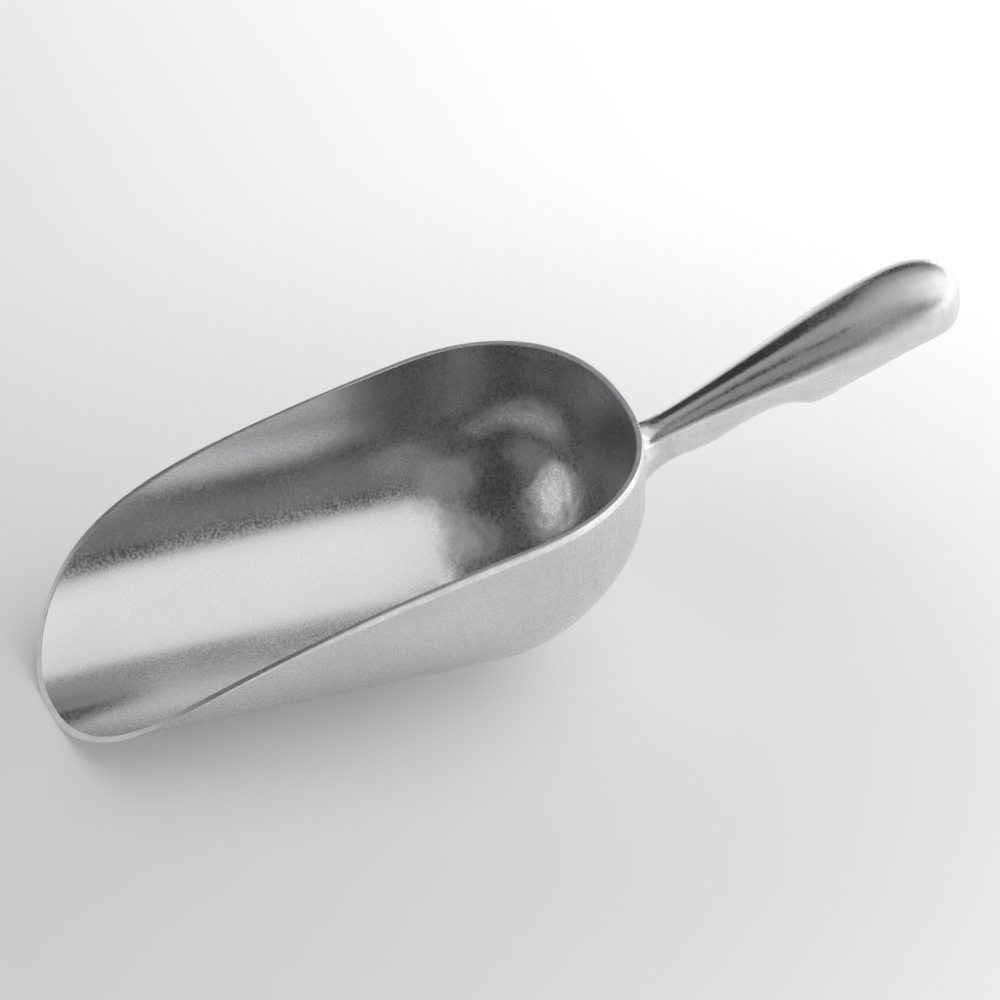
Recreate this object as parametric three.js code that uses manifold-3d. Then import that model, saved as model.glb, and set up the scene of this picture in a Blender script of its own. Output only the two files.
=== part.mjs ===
// Cast aluminium ice scoop: a long open trough with a rounded back, and a grip that rises from it.
// Millimetres, +Z up. The mouth looks along -Y, the grip points along +Y, and the plane X = 0 is
// the plane of symmetry. The bowl stands on a narrow flat at Z = 0.
import * as THREE from 'three';
import Module from 'manifold-3d';

// Bowl
const LENGTH = 200;            // lip to the back of the bowl
const HALF_WIDTH = 60;         // at the widest line
const BACK_LENGTH = 58.8;      // the part of the length that the rounded back takes
const SIDE_Z = 51;             // height of the widest line along the sides
const BACK_Z = 54;             // height of the widest line at the back
const WALL = 2.4;
const FOOT_CUT = 0.35;         // how much the flat takes off the round underside
const SIDE_POWER = 2.1;        // roundness of the trough's section, 2 being an ellipse
const BACK_POWER = 1.86;       // the same for the section lengthways through the back
const PLAN_POWER = [1.78, 2.29]; // the same for the back seen from above, at the foot and at the rim
const SIDE_DRAFT = 1;          // degrees outward, above the widest line
const BACK_DRAFT = -3.6;
const LIP_TAPER = 0.04;        // how much narrower the trough is at the lip
// Bezier points of the rim seen from the side, Y and Z.
const RIM = [[0, 0], [31, 33], [40, 48], [200, 76.8]];
const BEVEL_DROP = 2.4;        // the ground bevel round the outside of the rim
const BEVEL_INSET = 0.45;
const BEVEL_FADE = 110;        // length over which the bevel grows in from the lip
const LIP_THIN = [0.38, 36];   // share the wall loses at the lip, and where it has its full thickness

// Grip, along an axis in the plane X = 0 that starts behind the bowl and rises
const GRIP_START = [203, 56];  // Y and Z
const GRIP_RISE = 19.3;        // degrees
const GRIP_LENGTH = 120.2;
const NECK_HALF_WIDTH = 5.65;
const GRIP_HALF_WIDTH = 15.4;
const GRIP_SWELL = [-2, 94.5]; // stretch over which the neck widens to the full grip
const CROWN = 0.82;            // height of the upper half as a share of the half width
const EDGE = 78;               // degrees from the crown to the parting line on the section's arc
const CROWN_END = [31.5, 2.4]; // rounding of the end on top: its length and its power, 2 being an ellipse
const SIDE_END = [22, 2.4];    // the same for the sides
const UNDER_END = [11, 2.2];   // and for the underside
const ROOT_FILLET = [18, 8];   // how far the neck's fillet runs out onto the bowl, at the sides and on top
const ROOT_DROP = 5.5;         // how far the root's middle lies below the parting line
const SEAM = 11.5;             // end of the fillet along the axis, where the grip is divided from the bowl
// Depth of the underside below the parting line: the web under the neck, the first finger rest,
// the steep front of the second one, and the heel. Distance along the axis and depth.
const UNDERSIDE = [
  [-8, 13.1], [8, 12.5], [24, 13.8], [32, 12.6], [43, 11.4], [52, 12.6],
  [60, 17.3], [66, 18], [74, 17], [90, 16], [100, 15.4], [108, 15.9], [121, 16.8],
];

const RIBS = 15;               // steps from the foot up to the rim
const TROUGH_STEPS = 26;
const BACK_STEPS = 22;
const SECTION_STEPS = 36;
const GRIP_STEPS = 40;
const END_STEPS = 14;
const END_FLAT = 0.4;          // share of a step that closes the grip's end flat
const FILLET_STEPS = 10;
const PASSES = 40;             // of bisection, and of the searches that close in on a point
const FINE = 0.01;
const WELD = 1e-4;
const SUNK = 0.05;             // how far the fillet's edge is taken into the wall before it turns inward
const SPLINE_POINTS = 600;
const rad = THREE.MathUtils.degToRad;
const smooth = (x, a, b) => THREE.MathUtils.smoothstep(x, a, b);
const mix = (p, q, share) => p.map((v, k) => THREE.MathUtils.lerp(v, q[k], share));

// --- Bowl -----------------------------------------------------------------------------------

const rimCurve = new THREE.CubicBezierCurve(...RIM.map(([y, z]) => new THREE.Vector2(y, z)));

// Height of the rim above a point at distance y from the lip, by bisection on the curve.
function rimHeight(y) {
  let [low, high] = [0, 1];
  for (let i = 0; i < PASSES; i++) {
    const middle = (low + high) / 2;
    if (rimCurve.getPoint(middle).x < y) low = middle;
    else high = middle;
  }
  return rimCurve.getPoint(low).y;
}

// Distance out from the centre at height z of a wall whose round part starts at floor.
function reach(z, full, widest, power, draft, floor) {
  if (z >= widest) return full + (z - widest) * Math.tan(rad(draft));
  const depth = Math.min((widest - z) / (widest - floor), 1);
  return full * Math.pow(1 - Math.pow(depth, power), 1 / power);
}

const planPower = (z) => THREE.MathUtils.lerp(...PLAN_POWER, Math.min(z / BACK_Z, 1));

// A wall surface lies inset from the outside: 0 is the outside, WALL the inside.
function wallSurface(inset) {
  const floor = inset > 0 ? inset : -FOOT_CUT;
  const start = LENGTH - BACK_LENGTH;
  const across = (z) => reach(z, HALF_WIDTH - inset, SIDE_Z, SIDE_POWER, SIDE_DRAFT, floor);
  const along = (z) => reach(z, BACK_LENGTH - inset, BACK_Z, BACK_POWER, BACK_DRAFT, floor);
  return {
    bottom: Math.max(floor, 0),
    trough(y, z) {
      return [across(z) * (1 - LIP_TAPER * (1 - y / start) ** 2), y, z];
    },
    back(angle, z) {
      const power = planPower(z);
      const x = across(z) * Math.pow(Math.max(Math.cos(angle), 0), 2 / power);
      return [x, start + along(z) * Math.pow(Math.sin(angle), 2 / power), z];
    },
    behind(x, z) {
      const power = planPower(z);
      const share = Math.min(Math.abs(x) / across(z), 1);
      return start + along(z) * Math.pow(1 - Math.pow(share, power), 1 / power);
    },
  };
}

// The half outline of a wall surface, from the lip to the middle of the back: at each station a
// function of height, and the height where the rim cuts it.
function stations(surface) {
  const list = [];
  const start = LENGTH - BACK_LENGTH;
  let first = 0;
  while (rimHeight(first) < surface.bottom) first += FINE;
  for (let i = 0; i <= TROUGH_STEPS; i++) {
    const y = first + (start - first) * (i / TROUGH_STEPS) ** 2;
    const top = i === 0 ? surface.bottom : rimHeight(y);
    list.push({ foot: [0, y, surface.bottom], at: (z) => surface.trough(y, z), top });
  }
  for (let i = 1; i <= BACK_STEPS; i++) {
    const angle = (Math.PI / 2) * (i / BACK_STEPS);
    let top = SIDE_Z;
    for (let pass = 0; pass < PASSES; pass++) top = rimHeight(surface.back(angle, top)[1]);
    list.push({ foot: [0, start, surface.bottom], at: (z) => surface.back(angle, z), top });
  }
  return list;
}

// One column of points at a station, from the centre line up to a height.
function column(station, bottom, top) {
  const points = [station.foot];
  for (let i = 0; i <= RIBS; i++) points.push(station.at(bottom + (top - bottom) * (i / RIBS) ** 2));
  return points;
}

// Builds the half at +X from columns of points, mirrors it and welds it into one closed mesh.
function mirrorStrips(grids) {
  const index = new Map();
  const vertices = [];
  const triangles = [];
  const vertex = (p) => {
    const key = p.map((v) => Math.round(v / WELD)).join();
    if (!index.has(key)) {
      index.set(key, vertices.length / 3);
      vertices.push(...p);
    }
    return index.get(key);
  };
  const face = (...corners) => {
    const [a, b, c] = corners.map(vertex);
    if (a !== b && b !== c && c !== a) triangles.push(a, b, c);
  };
  const flip = ([x, y, z]) => [-x, y, z];
  for (const grid of grids) {
    for (let i = 0; i + 1 < grid.length; i++) {
      for (let j = 0; j + 1 < grid[i].length; j++) {
        const [a, b, c, d] = [grid[i][j], grid[i + 1][j], grid[i + 1][j + 1], grid[i][j + 1]];
        for (const [p, q, r] of [[a, b, c], [a, c, d]]) {
          face(p, q, r);
          face(flip(p), flip(r), flip(q));
        }
      }
    }
  }
  return { vertices, triangles };
}

function shellMesh() {
  const outer = wallSurface(0);
  const inner = wallSurface(WALL);
  const outerStations = stations(outer);
  const innerStations = stations(inner);
  const outside = [];
  const land = [];
  const inside = [];
  outerStations.forEach((station, i) => {
    const rimPoint = station.at(station.top);
    const thin = LIP_THIN[0] * (1 - smooth(rimPoint[1], 0, LIP_THIN[1]));
    const full = column(station, outer.bottom, station.top);
    const inward = column(innerStations[i], inner.bottom, innerStations[i].top);
    inside.push(inward.map((p, k) => mix(p, full[k], thin)).reverse());
    const innerRim = inside[i][0];
    const share = smooth(rimPoint[1], 0, BEVEL_FADE);
    const edge = mix(rimPoint, innerRim, (share * BEVEL_INSET) / WALL);
    const low = Math.max(station.top - share * BEVEL_DROP, outer.bottom);
    outside.push([...column(station, outer.bottom, low), edge]);
    land.push([edge, innerRim]);
  });
  // At the lip the land closes over the front of the foot.
  land.unshift([outerStations[0].foot, inside[0][inside[0].length - 1]]);
  return mirrorStrips([outside, land, inside]);
}

// --- Grip -----------------------------------------------------------------------------------

const underside = new THREE.SplineCurve(UNDERSIDE.map(([s, d]) => new THREE.Vector2(s, d)));
const undersidePoints = underside.getPoints(SPLINE_POINTS);

function undersideDepth(s) {
  const i = undersidePoints.findIndex((p) => p.x >= s);
  const [p, q] = [undersidePoints[Math.max(i - 1, 0)], undersidePoints[Math.max(i, 1)]];
  return THREE.MathUtils.mapLinear(s, p.x, q.x, p.y, q.y);
}

// 1 along the grip, falling to 0 at its end along a quarter of a superellipse.
function endRound(s, [length, power]) {
  const t = THREE.MathUtils.clamp((s - (GRIP_LENGTH - length)) / length, 0, 1);
  return Math.pow(1 - Math.pow(t, power), 1 / power);
}

// A closed section across the axis at distance s: two arcs that meet in an edge at the parting line.
function gripSection(s, steps) {
  const grow = smooth(s, ...GRIP_SWELL);
  const width = THREE.MathUtils.lerp(NECK_HALF_WIDTH, GRIP_HALF_WIDTH, grow);
  const half = width * endRound(s, SIDE_END);
  const crown = width * CROWN * endRound(s, CROWN_END);
  const depth = undersideDepth(s) * endRound(s, UNDER_END);
  const points = [];
  for (let i = 0; i < steps; i++) {
    const turn = (i / steps) * 4 - 1;              // -1 to 1 over the crown, 1 to 3 underneath
    const below = turn > 1;
    const angle = rad(EDGE) * (below ? 2 - turn : turn);
    const across = (half * Math.sin(angle)) / Math.sin(rad(EDGE));
    const up = (Math.cos(angle) - Math.cos(rad(EDGE))) / (1 - Math.cos(rad(EDGE)));
    const lift = below ? -up * depth : up * crown;
    points.push([
      across,
      GRIP_START[0] + s * Math.cos(rad(GRIP_RISE)) - lift * Math.sin(rad(GRIP_RISE)),
      GRIP_START[1] + s * Math.sin(rad(GRIP_RISE)) + lift * Math.cos(rad(GRIP_RISE)),
    ]);
  }
  return points;
}

// A closed tube through rings of points, with a fan over each end.
function tubeMesh(rings) {
  const steps = rings[0].length;
  const vertices = rings.flat(2);
  const triangles = [];
  for (let r = 0; r + 1 < rings.length; r++) {
    for (let i = 0; i < steps; i++) {
      const j = (i + 1) % steps;
      const [a, b, c, d] = [r * steps + i, r * steps + j, (r + 1) * steps + j, (r + 1) * steps + i];
      triangles.push(a, b, c, a, c, d);
    }
  }
  for (const [r, turned] of [[0, true], [rings.length - 1, false]]) {
    const centre = vertices.length / 3;
    const ring = rings[r];
    vertices.push(...[0, 1, 2].map((k) => ring.reduce((sum, p) => sum + p[k], 0) / steps));
    for (let i = 0; i < steps; i++) {
      const [a, b] = [r * steps + i, r * steps + ((i + 1) % steps)];
      triangles.push(centre, turned ? b : a, turned ? a : b);
    }
  }
  return { vertices, triangles };
}

function gripRings() {
  const list = [];
  const straight = GRIP_LENGTH - CROWN_END[0];
  for (let i = 0; i <= GRIP_STEPS; i++) list.push(SEAM + (straight - SEAM) * (i / GRIP_STEPS));
  for (let i = 1; i <= END_STEPS; i++) {
    list.push(straight + CROWN_END[0] * Math.sin((Math.PI / 2) * (i / (END_STEPS + END_FLAT))));
  }
  return list.map((s) => gripSection(s, SECTION_STEPS));
}

// The root: from the section at the seam each line runs on along the neck, turns along a fillet and
// lands on the bowl's back. The last rings lie inside the wall.
function rootRings() {
  const back = wallSurface(0);
  const onBack = (x, z) => new THREE.Vector3(x, back.behind(x, z), z);
  const landing = ({ x, y, z }) => {
    let hit = onBack(x, z);
    for (let pass = 0; pass < PASSES; pass++) hit = onBack(x, z - (y - hit.y) * Math.tan(rad(GRIP_RISE)));
    return hit;
  };
  const vectors = (s) => gripSection(s, SECTION_STEPS).map((p) => new THREE.Vector3(...p));
  const beyond = vectors(SEAM + FINE);
  const centre = landing(new THREE.Vector3(0, GRIP_START[0], GRIP_START[1] - ROOT_DROP));
  const lines = vectors(SEAM).map((point, i) => {
    const hit = landing(point);
    const out = new THREE.Vector2(hit.x - centre.x, hit.z - centre.z).normalize();
    const size = THREE.MathUtils.lerp(...ROOT_FILLET, Math.max(out.y, 0) ** 2);
    const [x, z] = [hit.x + size * out.x, hit.z + size * out.y];
    const foot = onBack(x, z);
    const tangent = new THREE.Plane().setFromCoplanarPoints(foot, onBack(x, z + FINE), onBack(x + FINE, z));
    const run = point.clone().sub(beyond[i]);
    const ahead = -tangent.distanceToPoint(point) / tangent.normal.dot(run);
    const corner = point.clone().addScaledVector(run, ahead);
    return new THREE.QuadraticBezierCurve3(point, corner, foot);
  });
  const rings = [];
  for (let i = 0; i <= FILLET_STEPS; i++) {
    rings.push(lines.map((line) => line.getPoint(i / FILLET_STEPS).toArray()));
  }
  for (const depth of [SUNK, WALL / 2]) rings.push(rings[FILLET_STEPS].map(([x, y, z]) => [x, y - depth, z]));
  return rings.reverse();
}

// --- Assembly -------------------------------------------------------------------------------

const wasm = await Module();
wasm.setup();

function solid({ vertices, triangles }) {
  return new wasm.Manifold(new wasm.Mesh({
    numProp: 3,
    vertProperties: new Float32Array(vertices),
    triVerts: new Uint32Array(triangles),
  }));
}

function geometry({ vertProperties, triVerts }) {
  const shape = new THREE.BufferGeometry();
  shape.setAttribute('position', new THREE.BufferAttribute(new Float32Array(vertProperties), 3));
  shape.setIndex(new THREE.BufferAttribute(new Uint32Array(triVerts), 1));
  shape.computeVertexNormals();
  return shape;
}

const bowlGeometry = geometry(solid(shellMesh()).add(solid(tubeMesh(rootRings()))).getMesh());
const gripGeometry = geometry(solid(tubeMesh(gripRings())).getMesh());

const castAluminium = { color: 0xc9cacc, metalness: 1, roughness: 0.34 };
const part = new THREE.Group();
part.name = 'ice_scoop';
for (const [name, shape] of [['bowl', bowlGeometry], ['handle', gripGeometry]]) {
  const mesh = new THREE.Mesh(shape, new THREE.MeshStandardMaterial(castAluminium));
  mesh.name = name;
  part.add(mesh);
}

// The origin is under the middle of the object's length, at the height of the flat it stands on.
const box = new THREE.Box3().setFromObject(part);
part.children.forEach((mesh) => mesh.geometry.translate(0, -(box.min.y + box.max.y) / 2, 0));

export default part;
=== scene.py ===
"""Looks for the cast aluminium ice scoop: one seamless casting, its metal, the studio and the camera."""

import math

import bpy
import numpy as np
from mathutils import Matrix, Vector


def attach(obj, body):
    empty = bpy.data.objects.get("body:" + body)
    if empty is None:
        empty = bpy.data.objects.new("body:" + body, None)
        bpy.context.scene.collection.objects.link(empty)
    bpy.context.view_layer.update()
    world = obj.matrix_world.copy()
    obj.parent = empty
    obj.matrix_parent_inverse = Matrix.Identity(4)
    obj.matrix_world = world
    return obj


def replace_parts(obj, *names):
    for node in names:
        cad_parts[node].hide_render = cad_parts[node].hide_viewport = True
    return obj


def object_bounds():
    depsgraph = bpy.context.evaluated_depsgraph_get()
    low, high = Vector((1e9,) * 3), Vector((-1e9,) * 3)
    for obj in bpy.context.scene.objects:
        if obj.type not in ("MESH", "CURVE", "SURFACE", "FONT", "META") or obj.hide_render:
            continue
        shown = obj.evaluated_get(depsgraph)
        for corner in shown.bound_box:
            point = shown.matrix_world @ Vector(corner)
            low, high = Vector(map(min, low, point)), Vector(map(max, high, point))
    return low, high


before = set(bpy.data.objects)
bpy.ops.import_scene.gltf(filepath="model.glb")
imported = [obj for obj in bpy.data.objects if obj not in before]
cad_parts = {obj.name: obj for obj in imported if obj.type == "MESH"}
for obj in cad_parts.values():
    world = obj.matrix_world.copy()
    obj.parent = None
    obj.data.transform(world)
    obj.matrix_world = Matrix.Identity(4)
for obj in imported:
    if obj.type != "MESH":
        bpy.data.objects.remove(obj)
cad_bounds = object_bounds()

# --- Shape: the CAD part's own dimensions, in millimetres from the lip ---------------------------

LENGTH = 200.0                        # lip to the back of the bowl
HALF_WIDTH = 60.0
BACK_LENGTH = 58.8                    # what the rounded back takes of the length
TROUGH = LENGTH - BACK_LENGTH
SIDE_Z = 51.0                         # height of the widest line, along the sides and at the back
BACK_Z = 54.0
WALL = 2.4
FOOT_CUT = 0.35                       # what the flat underneath takes off the round outside
SIDE_POWER = 2.1                      # powers of the superellipses: across, up the back and in plan
BACK_POWER = 1.86
PLAN_POWER = (1.78, 2.29)             # at the bottom, and from BACK_Z up
SIDE_DRAFT = math.radians(1)          # slope of the walls above their widest line
BACK_DRAFT = math.radians(-3.6)
LIP_TAPER = 0.04                      # share of the width that is lost towards the lip
RIM = ((0, 0), (31, 33), (40, 48), (200, 76.8))
BEVEL_DROP = 2.4                      # the ground edge outside the rim: down the wall, and across it
BEVEL_INSET = 0.45
BEVEL_FADE = 110.0                    # distance from the lip over which it grows to its full size
LIP_THIN = (0.38, 36.0)               # share the wall loses at the lip, and where it has its full thickness

GRIP_START = (203.0, 56.0)            # Y and Z of the start of the grip's axis
GRIP_RISE = math.radians(19.3)
GRIP_LENGTH = 120.2
NECK_HALF_WIDTH = 5.65
GRIP_HALF_WIDTH = 15.4
GRIP_SWELL = (-2.0, 94.5)             # where it starts and stops getting wider
CROWN = 0.82                          # height of the top, as a share of the half width
PARTING_ARC = (78.0, 88.0)            # half angle of the section's arcs: at a full edge, and at none
PARTING_FADE = (14.0, 88.0, 108.0)    # where the edge is full after the neck, starts to fade and is gone
CROWN_END = (31.5, 2.4)               # length and power of the end's rounding on top, at the sides and below
SIDE_END = (22.0, 2.4)
UNDER_END = (11.0, 2.2)
ROOT_FILLET = (18.0, 8.0)             # round the sides and underneath, and on top
ROOT_DROP = 5.5                       # how far below the axis the fillet is centred
SEAM = 11.5                           # where the handle starts, along the axis
UNDERSIDE = (                         # distance along the axis, depth below the parting line
    (-8, 13.1), (8, 12.5), (24, 13.8), (32, 12.6), (43, 11.4), (52, 12.6),
    (60, 17.3), (66, 18), (74, 17), (90, 16), (100, 15.4), (108, 15.9), (121, 16.8),
)

# --- Mesh density ---------------------------------------------------------------------------------

TROUGH_STEPS = 110
BACK_STEPS = 64
RIBS = 60
CORNER_STEPS = 3
EDGE_ROUND = 0.35                     # radius of the rim's edges
SUPPORT = 0.15                        # distance of the support lines beside a rounded edge
PATCH_STATIONS = 16                   # cells of the back that the neck's patch takes on each side
PATCH_ROWS = (31, 59)
PATCH_RINGS = 8
PARTING_ROUND = 0.35                  # distance of the first points beside the parting line
SECTION_STEPS = 120                   # points round the grip
FILLET_STEPS = 16
GRIP_STEPS = 150
END_STEPS = 40
CURVE_STEPS = 4000                    # samples of the rim's and the underside's curves
TOP_PASSES = 14                       # steps towards the point where a rib meets the rim
LANDING_PASSES = 10                   # and where a line of the grip meets the back
MILLIMETRE = 0.001


def smoothstep(x, low, high):
    t = np.clip((x - low) / (high - low), 0, 1)
    return t * t * (3 - 2 * t)


def unit(v):
    return v / max(np.linalg.norm(v), 1e-9)


def bezier(points, t):
    """A Bezier curve of any degree through control points, at the values of t."""
    t = np.asarray(t, float).reshape(-1, 1)
    n = len(points) - 1
    shares = [math.comb(n, i) * (1 - t) ** (n - i) * t ** i for i in range(n + 1)]
    return sum(share * np.asarray(p, float) for share, p in zip(shares, points))


# --- Bowl -----------------------------------------------------------------------------------------

RIM_Y, RIM_Z = bezier(RIM, np.linspace(0, 1, CURVE_STEPS)).T


def rim_height(y):
    return np.interp(y, RIM_Y, RIM_Z)


def reach(z, full, widest, power, draft, floor):
    """Distance out from the centre at height z of a wall whose round part starts at floor."""
    depth = np.clip((widest - z) / (widest - floor), 0, 1)
    round_part = full * (1 - depth ** power) ** (1 / power)
    return np.where(z >= widest, full + (z - widest) * math.tan(draft), round_part)


def plan_power(z):
    return PLAN_POWER[0] + (PLAN_POWER[1] - PLAN_POWER[0]) * np.clip(z / BACK_Z, 0, 1)


class WallSurface:
    """One face of the bowl's wall, inset from the outside: 0 is the outside, WALL the inside."""

    def __init__(self, inset):
        self.inset = inset
        self.floor = inset if inset > 0 else -FOOT_CUT
        self.bottom = max(self.floor, 0.0)

    def across(self, z):
        return reach(z, HALF_WIDTH - self.inset, SIDE_Z, SIDE_POWER, SIDE_DRAFT, self.floor)

    def along(self, z):
        return reach(z, BACK_LENGTH - self.inset, BACK_Z, BACK_POWER, BACK_DRAFT, self.floor)

    def trough(self, y, z):
        z = np.asarray(z, float)
        x = self.across(z) * (1 - LIP_TAPER * (1 - y / TROUGH) ** 2)
        return np.stack([x, np.full_like(z, y), z], -1)

    def back(self, angle, z):
        z = np.asarray(z, float)
        power = plan_power(z)
        x = self.across(z) * max(math.cos(angle), 0.0) ** (2 / power)
        return np.stack([x, TROUGH + self.along(z) * math.sin(angle) ** (2 / power), z], -1)

    def behind(self, x, z):
        """The point of the back's wall at a given X and Z."""
        power = plan_power(z)
        share = np.clip(np.abs(x) / self.across(z), 0, 1)
        y = TROUGH + self.along(z) * (1 - share ** power) ** (1 / power)
        return np.stack(np.broadcast_arrays(x, y, z), -1)

    def behind_normal(self, x, z):
        step = 0.05
        du = self.behind(x + step, z) - self.behind(x - step, z)
        dv = self.behind(x, z + step) - self.behind(x, z - step)
        return unit(np.cross(dv, du))


class Rib:
    """A line up a wall surface from its foot on the centre line to where the rim cuts it."""

    def __init__(self, surface, kind, place):
        self.surface = surface
        self.kind = kind
        self.place = place
        self.foot = np.array([0.0, place if kind == "trough" else TROUGH, surface.bottom])
        self.top = SIDE_Z
        for _ in range(TOP_PASSES):
            self.top = max(float(rim_height(self.at(self.top)[1])), surface.bottom)

    def at(self, z):
        return getattr(self.surface, self.kind)(self.place, z)

    def rows(self, top):
        steps = (np.arange(RIBS + 1) / RIBS) ** 2
        return self.at(self.surface.bottom + (top - self.surface.bottom) * steps)


def ribs(surface):
    first = float(np.interp(surface.bottom, RIM_Z, RIM_Y))
    steps = np.linspace(0, 1, TROUGH_STEPS + 1) ** 2
    trough = [Rib(surface, "trough", first + (TROUGH - first) * t) for t in steps]
    angles = np.linspace(0, math.pi / 2, BACK_STEPS + 1)[1:]
    return trough + [Rib(surface, "back", float(a)) for a in angles]


def rounded(before, corner, after):
    """Points that turn a corner along a small curve instead of at a point."""
    back, ahead = before - corner, after - corner
    size = min(EDGE_ROUND, 0.4 * np.linalg.norm(back), 0.4 * np.linalg.norm(ahead))
    return list(bezier(
        (corner + unit(back) * size, corner, corner + unit(ahead) * size), np.linspace(0, 1, CORNER_STEPS + 1)
    ))


def supported(start, groups, end):
    """Joins rounded corners, with a support point before and after each so that the flats stay flat."""
    points = []
    for i, group in enumerate(groups):
        before = groups[i - 1][-1] if i else start
        after = groups[i + 1][0] if i + 1 < len(groups) else end
        for near, far, place in ((group[0], before, 0), (group[-1], after, len(group) + 1)):
            gap = far - near
            group.insert(place, near + unit(gap) * min(SUPPORT, 0.3 * np.linalg.norm(gap)))
        points += group
    return points


def wall_column(outer, inner):
    """One rib of the wall, from the foot outside, over the rim, to the foot inside."""
    rim = outer.at(outer.top)
    thin = LIP_THIN[0] * float(1 - smoothstep(rim[1], 0, LIP_THIN[1]))
    inside = (inner.rows(inner.top) * (1 - thin) + outer.rows(outer.top) * thin)[::-1]
    inner_foot = inner.foot * (1 - thin) + outer.foot * thin
    inner_rim = inside[0]
    share = float(smoothstep(rim[1], 0, BEVEL_FADE))
    edge = rim + (inner_rim - rim) * share * BEVEL_INSET / WALL
    outside = outer.rows(max(outer.top - share * BEVEL_DROP, outer.surface.bottom))
    corners = [
        rounded(outside[-2], outside[-1], edge),
        rounded(outside[-1], edge, inner_rim),
        rounded(edge, inner_rim, inside[1]),
    ]
    return [outer.foot, *outside[:-1], *supported(outside[-2], corners, inside[1]), *inside[1:], inner_foot]


class Mesh:
    """Collects faces from points in millimetres and welds the points that coincide."""

    def __init__(self):
        self.index = {}
        self.points = []
        self.faces = []
        self.groups = []

    def vertex(self, p):
        key = (round(float(p[0]), 4), round(float(p[1]), 4), round(float(p[2]), 4))
        if key not in self.index:
            self.index[key] = len(self.points)
            self.points.append(p)
        return self.index[key]

    def face(self, corners, group):
        ids = list(dict.fromkeys(self.vertex(p) for p in corners))
        if len(ids) > 2:
            self.faces.append(ids)
            self.groups.append(group)

    def rings(self, rings, group):
        """Skins closed rings, each with the same number of points."""
        for a, b in zip(rings, rings[1:]):
            for i in range(len(a)):
                j = (i + 1) % len(a)
                self.face((a[i], a[j], b[j], b[i]), group)


def mirrored(p):
    return np.array([-p[0], p[1], p[2]])


def bowl_grid():
    outer, inner = ribs(WallSurface(0.0)), ribs(WallSurface(WALL))
    grid = [wall_column(o, i) for o, i in zip(outer, inner)]
    centre = [np.array([0.0, p[1], p[2]]) for p in grid[0]]
    return [centre, *grid]


def patch_cell(grid, i, j):
    low, high = (1 + row for row in PATCH_ROWS)
    return i >= len(grid) - 1 - PATCH_STATIONS and low <= j < high


def skin_bowl(mesh, grid):
    corner = CORNER_STEPS + 3
    rim = range(RIBS + 1 + corner // 2, RIBS + 1 + corner * 2 + corner // 2)
    for i in range(len(grid) - 1):
        for j in range(len(grid[i]) - 1):
            if patch_cell(grid, i, j):
                continue
            corners = (grid[i][j], grid[i + 1][j], grid[i + 1][j + 1], grid[i][j + 1])
            group = "rim" if j in rim else "bowl"
            mesh.face(corners, group)
            mesh.face([mirrored(p) for p in reversed(corners)], group)


def patch_outline(grid):
    """The edge of the hole left for the neck, in the order of the grip's section points."""
    last = len(grid) - 1
    low, high = (1 + row for row in PATCH_ROWS)
    right = [grid[last - i][high] for i in range(PATCH_STATIONS)]
    right += [grid[last - PATCH_STATIONS][j] for j in range(high, low, -1)]
    right += [grid[last - i][low] for i in range(PATCH_STATIONS, -1, -1)]
    quarter = SECTION_STEPS // 4
    ring = [None] * SECTION_STEPS
    for i, p in enumerate(right):
        ring[quarter + i] = p
        ring[quarter - i] = mirrored(p)
    return ring


# --- Grip -----------------------------------------------------------------------------------------

def catmull_rom(points, steps):
    """A Catmull-Rom curve through points, as the CAD's spline draws it."""
    p = np.array(points, float)
    t = np.linspace(0, len(p) - 1, steps)
    i = np.minimum(t.astype(int), len(p) - 2)
    w = (t - i)[:, None]
    a, b = p[np.where(i == 0, i, i - 1)], p[i]
    c, d = p[i + 1], p[np.where(i > len(p) - 3, len(p) - 1, i + 2)]
    v0, v1 = (c - a) / 2, (d - b) / 2
    return (2 * b - 2 * c + v0 + v1) * w ** 3 + (-3 * b + 3 * c - 2 * v0 - v1) * w ** 2 + v0 * w + b


UNDER_S, UNDER_D = catmull_rom(UNDERSIDE, CURVE_STEPS).T


def end_round(s, end):
    """1 along the grip, falling to 0 at its end along a quarter of a superellipse: length and power."""
    t = np.clip((s - (GRIP_LENGTH - end[0])) / end[0], 0, 1)
    return (1 - t ** end[1]) ** (1 / end[1])


def section_turns(half):
    """Quarter turns round the section, 0 at the crown, with points drawn close to the parting lines."""
    quarter = SECTION_STEPS // 4
    first = min(PARTING_ROUND / (1.4 * half), 1 / quarter)
    steps = np.concatenate([[0], np.linspace(first, 1, quarter)])
    down = 1 - steps[::-1][:-1]
    return np.concatenate([steps[:-1] - 1, down, 1 + steps[:-1], 2 + down])


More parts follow.
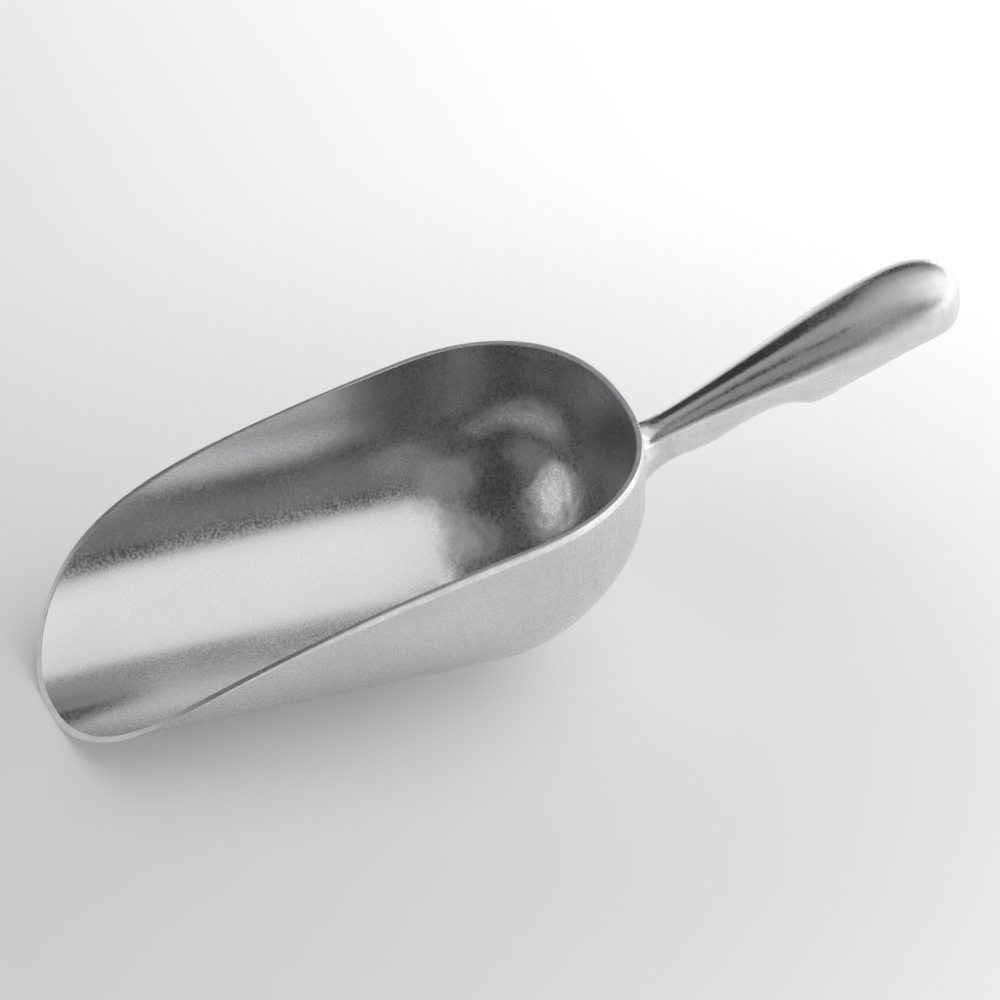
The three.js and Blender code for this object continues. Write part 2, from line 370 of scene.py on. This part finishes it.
def grip_section(s):
    """A closed section across the axis: two arcs that meet in an edge at the parting line."""
    grow = float(smoothstep(s, *GRIP_SWELL))
    width = NECK_HALF_WIDTH + (GRIP_HALF_WIDTH - NECK_HALF_WIDTH) * grow
    half = width * end_round(s, SIDE_END)
    crown = width * CROWN * end_round(s, CROWN_END)
    depth = float(np.interp(s, UNDER_S, UNDER_D)) * end_round(s, UNDER_END)
    soft = max(1 - smoothstep(s, 0, PARTING_FADE[0]), smoothstep(s, *PARTING_FADE[1:]))
    arc = math.radians(PARTING_ARC[0] + (PARTING_ARC[1] - PARTING_ARC[0]) * soft)
    turn = section_turns(half)
    below = turn > 1
    angle = arc * np.where(below, 2 - turn, turn)
    across = half * np.sin(angle) / math.sin(arc)
    up = (np.cos(angle) - math.cos(arc)) / (1 - math.cos(arc))
    lift = np.where(below, -up * depth, up * crown)
    y = GRIP_START[0] + s * math.cos(GRIP_RISE) - lift * math.sin(GRIP_RISE)
    z = GRIP_START[1] + s * math.sin(GRIP_RISE) + lift * math.cos(GRIP_RISE)
    return np.stack([across, y, z], -1)


def root_rings(outline):
    """Rings from the patch in the bowl's back, over the fillet, to the neck's section at the seam."""
    back = WallSurface(0.0)
    neck = grip_section(SEAM)
    direction = neck - grip_section(SEAM + 0.5)
    slope = math.tan(GRIP_RISE)

    def landing(p):
        x, y, z = p
        hit = p
        for _ in range(LANDING_PASSES):
            hit = back.behind(x, z - (y - hit[1]) * slope)
        return hit

    centre = landing(np.array([0.0, GRIP_START[0], GRIP_START[1] - ROOT_DROP]))
    lines = []
    for point, run in zip(neck, direction):
        hit = landing(point)
        out = unit((hit - centre)[[0, 2]])
        size = ROOT_FILLET[0] + (ROOT_FILLET[1] - ROOT_FILLET[0]) * max(out[1], 0) ** 2
        foot = back.behind(hit[0] + out[0] * size, hit[2] + out[1] * size)
        normal = back.behind_normal(foot[0], foot[2])
        run = unit(run)
        corner = point + run * (foot - point).dot(normal) / run.dot(normal)
        lines.append(bezier((foot, corner, point), np.linspace(0, 1, FILLET_STEPS + 1)))
    fillet = [np.array(ring) for ring in zip(*lines)]
    patch = []
    for k in range(PATCH_RINGS):
        t = k / PATCH_RINGS
        ring = [(1 - t) * a + t * b for a, b in zip(outline, fillet[0])]
        patch.append([a if k == 0 else back.behind(p[0], p[2]) for a, p in zip(outline, ring)])
    return patch + fillet


def grip_rings():
    straight = GRIP_LENGTH - CROWN_END[0]
    along = list(np.linspace(SEAM, straight, GRIP_STEPS + 1))
    turns = np.linspace(0, math.pi / 2, END_STEPS + 1)[1:-1]
    along += [straight + CROWN_END[0] * math.sin(t) for t in turns]
    return [grip_section(s) for s in along]


# --- Casting --------------------------------------------------------------------------------------

def vertex_normals(points, faces):
    """Area-weighted normals of the welded mesh, so that the two pieces shade as one surface."""
    normals = np.zeros_like(points)
    for size in (3, 4):
        ids = np.array([f for f in faces if len(f) == size])
        if not len(ids):
            continue
        a, b, c, d = (points[ids[:, k]] for k in (0, 1, 2, size - 1))
        area = np.cross(c - a, d - b) if size == 4 else np.cross(b - a, c - a)
        for k in range(size):
            np.add.at(normals, ids[:, k], area)
    return normals / np.maximum(np.linalg.norm(normals, axis=1), 1e-12)[:, None]


def make_piece(name, mesh, materials, normals):
    """A piece of the casting from the face groups that materials names."""
    chosen = [(f, g) for f, g in zip(mesh.faces, mesh.groups) if g in materials]
    used = sorted({v for f, _ in chosen for v in f})
    place = {v: i for i, v in enumerate(used)}
    lip = Vector((0, cad_bounds[0][1], 0))
    points = [Vector(mesh.points[v]) * MILLIMETRE + lip for v in used]
    data = bpy.data.meshes.new(name)
    data.from_pydata(points, [], [[place[v] for v in f] for f, _ in chosen])
    for material in materials.values():
        data.materials.append(material)
    order = list(materials)
    data.polygons.foreach_set("material_index", [order.index(g) for _, g in chosen])
    data.shade_smooth()
    data.normals_split_custom_set_from_vertices([normals[v] for v in used])
    piece = bpy.data.objects.new(name, data)
    bpy.context.collection.objects.link(piece)
    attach(piece, "root")
    return piece


def make_casting():
    mesh = Mesh()
    grid = bowl_grid()
    skin_bowl(mesh, grid)
    mesh.rings(root_rings(patch_outline(grid)), "bowl")
    rings = grip_rings()
    mesh.rings(rings, "grip")
    tip = np.mean(rings[-1], 0)
    for i, p in enumerate(rings[-1]):
        mesh.face((p, rings[-1][(i + 1) % SECTION_STEPS], tip), "grip")
    normals = vertex_normals(np.array(mesh.points), mesh.faces)
    metals = {"bowl": satin_metal(), "rim": ground_metal()}
    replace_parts(make_piece("bowl_casting", mesh, metals, normals), "bowl")
    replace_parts(make_piece("handle_casting", mesh, {"grip": burnished_painted_light_metal()}, normals), "handle")


# --- Metal ----------------------------------------------------------------------------------------

GRAIN = 0.95                          # size of the tumbled grain, in millimetres


class Nodes:
    """A node tree with short ways to add to it. An input is a number, a vector or another node's output."""

    def __init__(self, owner):
        owner.use_nodes = True
        self.tree = owner.node_tree

    def set(self, node, inputs):
        for key, value in inputs.items():
            if isinstance(value, bpy.types.NodeSocket):
                self.tree.links.new(value, node.inputs[key])
            else:
                node.inputs[key].default_value = value

    def node(self, kind, inputs=None, **settings):
        made = self.tree.nodes.new(kind)
        for key, value in settings.items():
            setattr(made, key, value)
        self.set(made, inputs or {})
        return made

    def maths(self, operation, a, b, vector=False):
        kind = "ShaderNodeVectorMath" if vector else "ShaderNodeMath"
        return self.node(kind, {0: a, 1: b}, operation=operation).outputs[0]

    def parts(self, vector):
        return self.node("ShaderNodeSeparateXYZ", {"Vector": vector}).outputs

    def ramp(self, value, low, high, start=0.0, end=1.0):
        """A smooth step, from start at low to end at high."""
        inputs = {"Value": value, "From Min": low, "From Max": high, "To Min": start, "To Max": end}
        return self.node("ShaderNodeMapRange", inputs, interpolation_type="SMOOTHSTEP").outputs["Result"]


class Metal(Nodes):
    """A procedural aluminium, built up in layers over the piece's own coordinates in millimetres."""

    def __init__(self, name, colour, rough):
        self.material = bpy.data.materials.new(name)
        super().__init__(self.material)
        place = self.node("ShaderNodeTexCoord").outputs["Object"]
        self.place = self.maths("MULTIPLY", place, (1 / MILLIMETRE,) * 3, vector=True)
        self.colour = colour
        self.tones = []
        self.rough = rough
        self.normal = {}

    def noise(self, size, detail=2.0, stretch=(1, 1, 1), seed=0.0):
        """Noise whose features are about size millimetres, longer where stretch is above 1."""
        scale = tuple(1 / (size * k) for k in stretch)
        place = self.maths("MULTIPLY", self.place, scale, vector=True)
        place = self.maths("ADD", place, (seed, seed * 1.7, seed * 2.3), vector=True)
        inputs = {"Vector": place, "Scale": 1.0, "Detail": detail}
        return self.node("ShaderNodeTexNoise", inputs).outputs["Fac"]

    def tone(self, value, low, high):
        """Darkens or lightens the metal by a factor between low and high, following a 0 to 1 pattern."""
        self.tones.append(self.ramp(value, 0.3, 0.7, low, high))

    def roughen(self, value, amount):
        self.rough = self.maths("ADD", self.maths("MULTIPLY", value, amount), self.rough)

    def bump(self, value, height):
        """Raises the surface by up to height millimetres."""
        inputs = {"Height": value, "Strength": 1.0, "Distance": height * MILLIMETRE, **self.normal}
        self.normal = {"Normal": self.node("ShaderNodeBump", inputs).outputs["Normal"]}

    def finish(self):
        tone = self.tones[0]
        for factor in self.tones[1:]:
            tone = self.maths("MULTIPLY", tone, factor)
        inputs = {0: self.colour, "Scale": tone}
        colour = self.node("ShaderNodeVectorMath", inputs, operation="SCALE").outputs[0]
        shader = self.tree.nodes["Principled BSDF"]
        self.set(shader, {"Base Color": colour, "Metallic": 1, "Roughness": self.rough, **self.normal})
        return self.material


def satin_metal():
    """The bowl: a tumbled satin with a fine grain and faint lines along the trough, ground in the back."""
    metal = Metal("satin_aluminium", (0.70, 0.70, 0.712), 0.17)
    grain = metal.noise(GRAIN, detail=0.5)
    cloud = metal.noise(26, detail=3, stretch=(1, 1.6, 1), seed=3)
    lines = metal.noise(0.8, detail=2, stretch=(1, 45, 1), seed=7)
    scratches = metal.ramp(metal.noise(1.1, detail=1, stretch=(1, 60, 1.5), seed=11), 0.66, 0.74)
    metal.tone(cloud, 0.96, 1.04)
    metal.tone(grain, 0.96, 1.04)
    metal.roughen(metal.ramp(cloud, 0.3, 0.7), 0.06)
    metal.roughen(metal.ramp(grain, 0.3, 0.7), 0.09)
    metal.bump(grain, 0.005)
    metal.bump(lines, 0.004)
    metal.bump(scratches, -0.004)
    back = metal.ramp(metal.parts(metal.place)["Y"], -40, 5)
    ground = metal.noise(1.0, detail=2, stretch=(1, 1, 30), seed=13)
    metal.tone(metal.maths("MULTIPLY", metal.ramp(ground, 0.35, 0.65), back), 1.01, 0.965)
    metal.roughen(back, 0.05)
    metal.bump(metal.maths("MULTIPLY", ground, back), 0.006)
    metal.bump(metal.maths("MULTIPLY", metal.noise(7, detail=1, seed=5), back), 0.25)
    metal.bump(metal.noise(9, detail=2, seed=5), 0.02)
    return metal.finish()


def ground_metal():
    """The rim: ground by hand, with short lines along the edge and a coarser, brighter grain."""
    metal = Metal("ground_aluminium", (0.88, 0.88, 0.892), 0.36)
    grain = metal.noise(1.0, detail=1.5, seed=23)
    lines = metal.noise(0.5, detail=2, stretch=(1, 12, 3), seed=29)
    metal.tone(metal.noise(7, detail=3, seed=31), 0.92, 1.06)
    metal.tone(grain, 0.94, 1.06)
    metal.roughen(grain, 0.14)
    metal.bump(grain, 0.02)
    metal.bump(lines, 0.012)
    return metal.finish()


def burnished_painted_light_metal():
    """The grip: smoother than the bowl, with a few lines round and along it and a worn, duller end, and a
    base colour a little lighter than the bowl's as painted light.
    """
    # painted light: the same aluminium as the bowl, given a lighter colour than its 0.70 so that the grip
    # looks more brightly lit
    metal = Metal("burnished_painted_light_aluminium", (0.745, 0.745, 0.757), 0.12)
    grain = metal.noise(GRAIN, detail=0.5, seed=37)
    cloud = metal.noise(14, detail=3, stretch=(1, 2, 1), seed=41)
    lines = metal.noise(0.7, detail=1.5, stretch=(1, 28, 8), seed=43)
    across = metal.noise(0.8, detail=1.5, stretch=(16, 1, 12), seed=47)
    metal.tone(cloud, 0.95, 1.04)
    metal.tone(grain, 0.965, 1.035)
    metal.tone(lines, 0.96, 1.03)
    metal.tone(across, 0.975, 1.02)
    metal.roughen(metal.ramp(cloud, 0.3, 0.7), 0.06)
    metal.roughen(metal.ramp(grain, 0.3, 0.7), 0.08)
    metal.bump(grain, 0.006)
    metal.bump(lines, 0.006)
    metal.bump(across, 0.003)
    metal.bump(metal.noise(7, detail=2, seed=53), 0.06)
    parts = metal.parts(metal.place)
    patchy = metal.maths("MULTIPLY", metal.noise(6, detail=3, stretch=(1, 3, 1), seed=59), 40)
    worn = metal.ramp(metal.maths("ADD", parts["Y"], patchy), 115, 150)
    side = metal.ramp(metal.maths("ADD", parts["X"], metal.maths("MULTIPLY", patchy, 0.2)), -3, 9)
    metal.roughen(metal.maths("MULTIPLY", worn, side), 0.27)
    return metal.finish()


# --- Studio ---------------------------------------------------------------------------------------

AIM = Vector((0, -0.0032, 0.045))
FLOOR_SIZE = 4.9
FLOOR_DROP = 0.0002                   # keeps the floor from sharing the foot's plane
PAINTED_LIGHT_CENTRE = (0.04, 0, 0)            # the point of the floor that its painted light and painted shadow are measured from
AMBIENT = 0.045
CAMERA = {"azimuth": 67.28, "elevation": 33.57, "roll": 1.04, "distance": 2.002, "lens": 220.7}

# Soft panels that face the object: the middle, the size across and up, both in metres, and the brightness.
SOFT_LIGHTS = {
    "sweep": ((0.0, 2.8, 0.55), (9.0, 1.1), 1.2),
    "backdrop": ((0.2, 2.8, 2.1), (4.6, 2.4), 1.2),
    "overhead": ((0.1, 0.9, 2.4), (3.4, 2.0), 0.95),
    "overhead front": ((0.15, -0.52, 2.45), (1.9, 1.0), 0.37),
    "shoulder": ((1.35, -0.47, 1.3), (1.36, 1.0), 0.25),
    "left": ((-1.64, 0.59, 1.72), (1.0, 0.9), 0.3),
    "front": ((-0.82, -2.1, 1.08), (1.3, 1.1), 1.0),
    "low front": ((0.56, -2.1, 0.79), (1.2, 0.45), 0.25),
    "lip": ((-1.72, -1.3, 0.5), (0.7, 0.6), 1.1),
    "strip": ((-2.54, 0.04, 0.59), (0.64, 1.1), 0.6),
    "fill": ((2.4, 0.5, 0.9), (2.0, 1.6), 0.16),
}


def make_camera():
    azimuth, elevation, roll = (math.radians(CAMERA[k]) for k in ("azimuth", "elevation", "roll"))
    right = Vector((math.cos(azimuth), math.sin(azimuth), 0))
    front = Vector((math.sin(azimuth), -math.cos(azimuth), 0))
    back = front * math.cos(elevation) + Vector((0, 0, math.sin(elevation)))
    up = back.cross(right)
    turned_right = right * math.cos(roll) + up * math.sin(roll)
    turned_up = up * math.cos(roll) - right * math.sin(roll)
    data = bpy.data.cameras.new("camera")
    data.lens = CAMERA["lens"]
    data.clip_end = 20
    camera = bpy.data.objects.new("camera", data)
    bpy.context.collection.objects.link(camera)
    turn = Matrix((turned_right, turned_up, back)).transposed().to_4x4()
    camera.matrix_world = Matrix.Translation(AIM + back * CAMERA["distance"]) @ turn
    bpy.context.scene.camera = camera


def make_floor():
    """A pale table with a slight glow of painted light, weaker under the object as a painted shadow, and
    weaker towards the front and far away as painted shade.
    """
    bpy.ops.mesh.primitive_plane_add(size=FLOOR_SIZE, location=(0, 0, -FLOOR_DROP))
    floor = bpy.context.object
    floor.name = "floor"
    material = bpy.data.materials.new("floor")
    nodes = Nodes(material)
    place = nodes.node("ShaderNodeTexCoord").outputs["Object"]
    inputs = {0: place, 1: PAINTED_LIGHT_CENTRE}
    distance = nodes.node("ShaderNodeVectorMath", inputs, operation="DISTANCE").outputs["Value"]
    # painted light: the glow is stronger behind the object, as if lit from there, and weaker towards the
    # front
    back = nodes.ramp(nodes.parts(place)["Y"], -0.35, 0.25, 0.12, 0.5)
    # painted shadow: the glow is weaker round the object
    near = nodes.ramp(distance, 0.06, 0.34, 0.5, 1)
    # painted light that fades far away
    far = nodes.ramp(distance, 0.45, 1.3, 1, 0.15)
    nodes.set(nodes.tree.nodes["Principled BSDF"], {
        "Base Color": (0.88, 0.88, 0.88, 1),
        "Roughness": 0.9,
        "Specular IOR Level": 0.2,
        # the emission is painted light on the floor, not a lamp
        "Emission Color": (1, 1, 1, 1),
        "Emission Strength": nodes.maths("MULTIPLY", nodes.maths("MULTIPLY", back, near), far),
    })
    floor.data.materials.append(material)


def make_soft_light(name, place, size, brightness):
    data = bpy.data.lights.new(name, "AREA")
    data.shape = "RECTANGLE"
    data.size, data.size_y = size
    data.energy = brightness * math.pi * size[0] * size[1]
    light = bpy.data.objects.new(name, data)
    light.location = place
    light.rotation_euler = (Vector(place) - AIM).to_track_quat("Z", "Y").to_euler()
    bpy.context.collection.objects.link(light)


def make_world():
    """Dim surroundings with a pale band low behind the object, brightest in the middle."""
    world = bpy.data.worlds.new("studio")
    nodes = Nodes(world)
    parts = nodes.parts(nodes.node("ShaderNodeTexCoord").outputs["Generated"])
    low = nodes.ramp(parts["Z"], 0.1, 0.2, 0.8, 0)
    behind = nodes.ramp(parts["Y"], -0.3, 0.22)
    middle = nodes.ramp(parts["Y"], 0.3, 0.8, 1, 1.5)
    band = nodes.maths("MULTIPLY", low, nodes.maths("MULTIPLY", behind, middle))
    nodes.set(nodes.tree.nodes["Background"], {"Color": nodes.maths("ADD", band, AMBIENT)})
    bpy.context.scene.world = world


make_casting()
make_camera()
make_floor()
for name, settings in SOFT_LIGHTS.items():
    make_soft_light(name, *settings)
make_world()
bpy.context.scene.view_settings.view_transform = "Standard"
